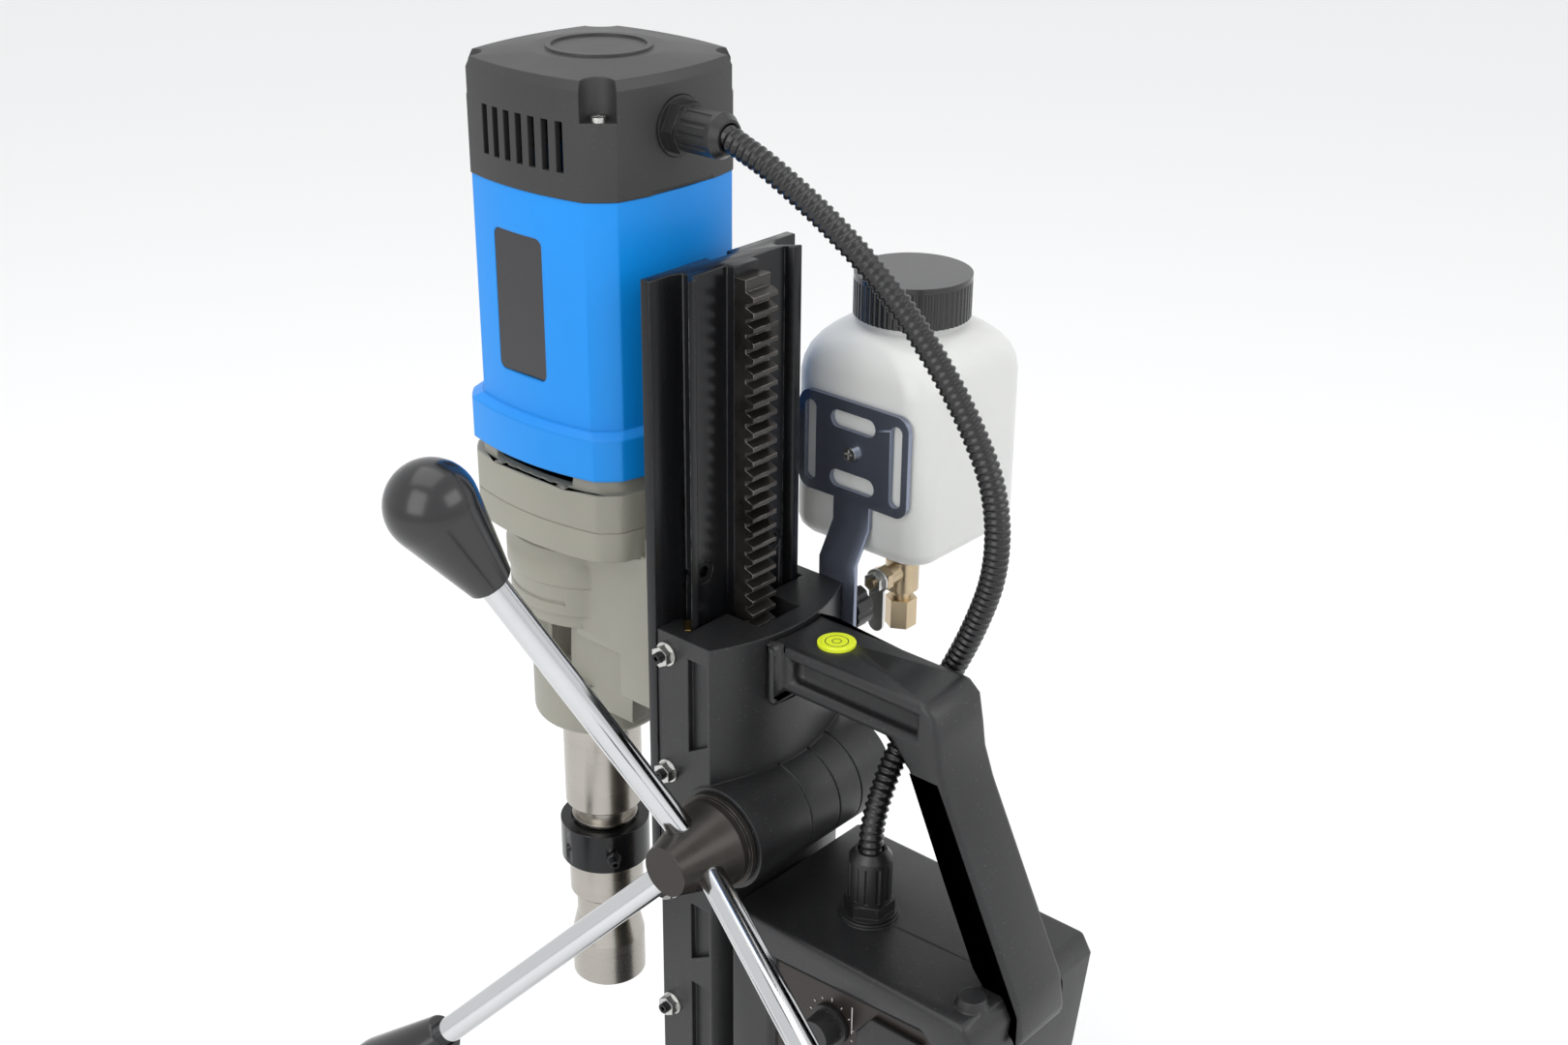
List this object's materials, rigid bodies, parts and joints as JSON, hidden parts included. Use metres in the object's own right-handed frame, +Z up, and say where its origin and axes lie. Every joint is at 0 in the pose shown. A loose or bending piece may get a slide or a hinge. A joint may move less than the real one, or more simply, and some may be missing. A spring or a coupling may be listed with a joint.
{
  "type": "magnetic drill press",
  "caption": "Drill press on an electromagnet base: motor, gearbox and arbor on a dovetail slide fed by a rack and capstan, with control box, carrying handle and coolant bottle.",
  "frame": {"origin": "centre of the electromagnet's working face, at the bottom", "axes": "+Z up along the feed, -Y towards the spindle, +X to the side with the feed capstan"},
  "size_m": [0.3521, 0.4316, 0.712],
  "materials": {
    "magnet_paint": "satin black paint",
    "coil_copper": "enamelled copper wire",
    "potting_resin": "dull black resin",
    "black_steel": "black oxide, slightly oily",
    "bright_steel": "turned, bright",
    "zinc_steel": "zinc plated",
    "cast_black": "satin black powder coat on a casting",
    "slide_black": "black anodised, machined",
    "gib_brass": "machined brass",
    "bush_bronze": "sintered bronze",
    "panel_brown": "dark anodised plate",
    "board_green": "solder mask",
    "level_fluid": "yellow-green acrylic",
    "gland_nylon": "black nylon",
    "mirror_plate": "dark polished stainless plate",
    "bottle_hdpe": "milky translucent plastic",
    "valve_brass": "worn nickel over brass",
    "case_grey": "warm grey paint on a casting",
    "motor_blue": "satin bright blue paint on a casting",
    "cap_grey": "dark grey glass-filled plastic",
    "label_black": "printed plate, blank",
    "lamination": "stacked laminations",
    "carbon": "pressed carbon",
    "conduit_black": "ribbed black plastic",
    "chrome_arm": "polished",
    "grip_black": "semi-gloss moulded",
    "knob_black": "moulded",
    "switch_green": "green rocker",
    "switch_red": "red rocker",
    "fan_plastic": "moulded"
  },
  "bodies": {
    "frame": {"magnet_body": "magnet_paint", "magnet_coil": "coil_copper", "magnet_potting": "potting_resin", "magnet_bolts": "black_steel", "column": "cast_black", "gib_strips": "gib_brass", "gib_screws": "black_steel", "gib_nuts": "black_steel", "shaft_bushes": "bush_bronze", "control_box": "cast_black", "box_floor": "black_steel", "control_panel": "panel_brown", "switch_guard": "knob_black", "circuit_board": "board_green", "carrying_handle": "cast_black", "handle_screws": "black_steel", "bubble_level": "level_fluid", "box_gland": "gland_nylon", "mains_gland": "gland_nylon", "bottle_bracket": "mirror_plate", "bottle": "bottle_hdpe", "bottle_screw": "zinc_steel", "valve_body": "valve_brass"},
    "carriage": {"slide_plate": "slide_black", "rack": "black_steel", "slide_screws": "black_steel", "gear_case": "case_grey", "gear_case_cover": "case_grey", "motor_housing": "motor_blue", "motor_cap": "cap_grey", "cap_screws": "zinc_steel", "motor_label": "label_black", "stator_core": "lamination", "field_windings": "coil_copper", "carbon_brushes": "carbon", "motor_bearings": "bright_steel", "spindle_bearings": "bright_steel", "coolant_ring": "slide_black", "motor_gland": "gland_nylon", "conduit": "conduit_black"},
    "spindle_unit": {"spindle": "bright_steel", "spindle_gear": "bright_steel", "arbor": "bright_steel", "arbor_screws": "black_steel"},
    "layshaft_unit": {"layshaft": "bright_steel", "layshaft_gear": "bright_steel"},
    "armature_unit": {"armature_shaft": "bright_steel", "armature_core": "lamination", "commutator": "coil_copper", "cooling_fan": "fan_plastic"},
    "capstan": {"feed_shaft": "bright_steel", "capstan_hub": "black_steel", "capstan_arms": "chrome_arm", "arm_grips": "grip_black"},
    "speed_knob_body": {"speed_knob": "knob_black"},
    "motor_switch_body": {"motor_switch": "switch_green"},
    "magnet_switch_body": {"magnet_switch": "switch_red"},
    "bottle_cap_body": {"bottle_cap": "knob_black"},
    "bracket_knob_body": {"bracket_knob": "knob_black"},
    "valve_lever_body": {"valve_lever": "zinc_steel"}
  },
  "joints": [
    {"name": "carriage_feed", "type": "slide", "parent": "frame", "child": "carriage", "axis": [0, 0, 1], "range_m": [-0.14, 0.01], "deforming": ["conduit"]},
    {"name": "capstan_turn", "type": "hinge", "parent": "frame", "child": "capstan", "pos_m": [0, -0.06502, 0.327], "axis": [1, 0, 0], "range_deg": [-29, 402]},
    {"name": "armature_turn", "type": "hinge", "parent": "carriage", "child": "armature_unit", "pos_m": [0, -0.19485, 0.57], "axis": [0, 0, 1], "continuous": true},
    {"name": "layshaft_turn", "type": "hinge", "parent": "carriage", "child": "layshaft_unit", "pos_m": [-0.02689, -0.19245, 0.45], "axis": [0, 0, 1], "continuous": true},
    {"name": "spindle_turn", "type": "hinge", "parent": "carriage", "child": "spindle_unit", "pos_m": [0, -0.20885, 0.3], "axis": [0, 0, 1], "continuous": true},
    {"name": "speed_knob_turn", "type": "hinge", "parent": "frame", "child": "speed_knob_body", "pos_m": [0.049, 0.009, 0.244], "axis": [1, 0, 0], "range_deg": [0, 270]},
    {"name": "motor_switch_rock", "type": "hinge", "parent": "frame", "child": "motor_switch_body", "pos_m": [0.045, 0.048, 0.225], "axis": [0, 1, 0], "range_deg": [0, 9]},
    {"name": "magnet_switch_rock", "type": "hinge", "parent": "frame", "child": "magnet_switch_body", "pos_m": [0.045, 0.002, 0.183], "axis": [0, 1, 0], "range_deg": [0, 9]},
    {"name": "bottle_cap_lift", "type": "slide", "parent": "frame", "child": "bottle_cap_body", "axis": [0, 0, 1], "range_m": [0, 0.04]},
    {"name": "bracket_knob_turn", "type": "hinge", "parent": "frame", "child": "bracket_knob_body", "pos_m": [-0.06, -0.0775, 0.413], "axis": [1, 0, 0], "range_deg": [-360, 360]},
    {"name": "valve_lever_turn", "type": "hinge", "parent": "frame", "child": "valve_lever_body", "pos_m": [-0.0906, -0.079, 0.419], "axis": [1, 0, 0], "range_deg": [0, 90]}
  ],
  "couplings": [
    {"joint": "capstan_turn", "follows": "carriage_feed", "rad_per_m": -50},
    {"joint": "layshaft_turn", "follows": "armature_turn", "ratio": -0.125},
    {"joint": "spindle_turn", "follows": "armature_turn", "ratio": 0.034091}
  ]
}
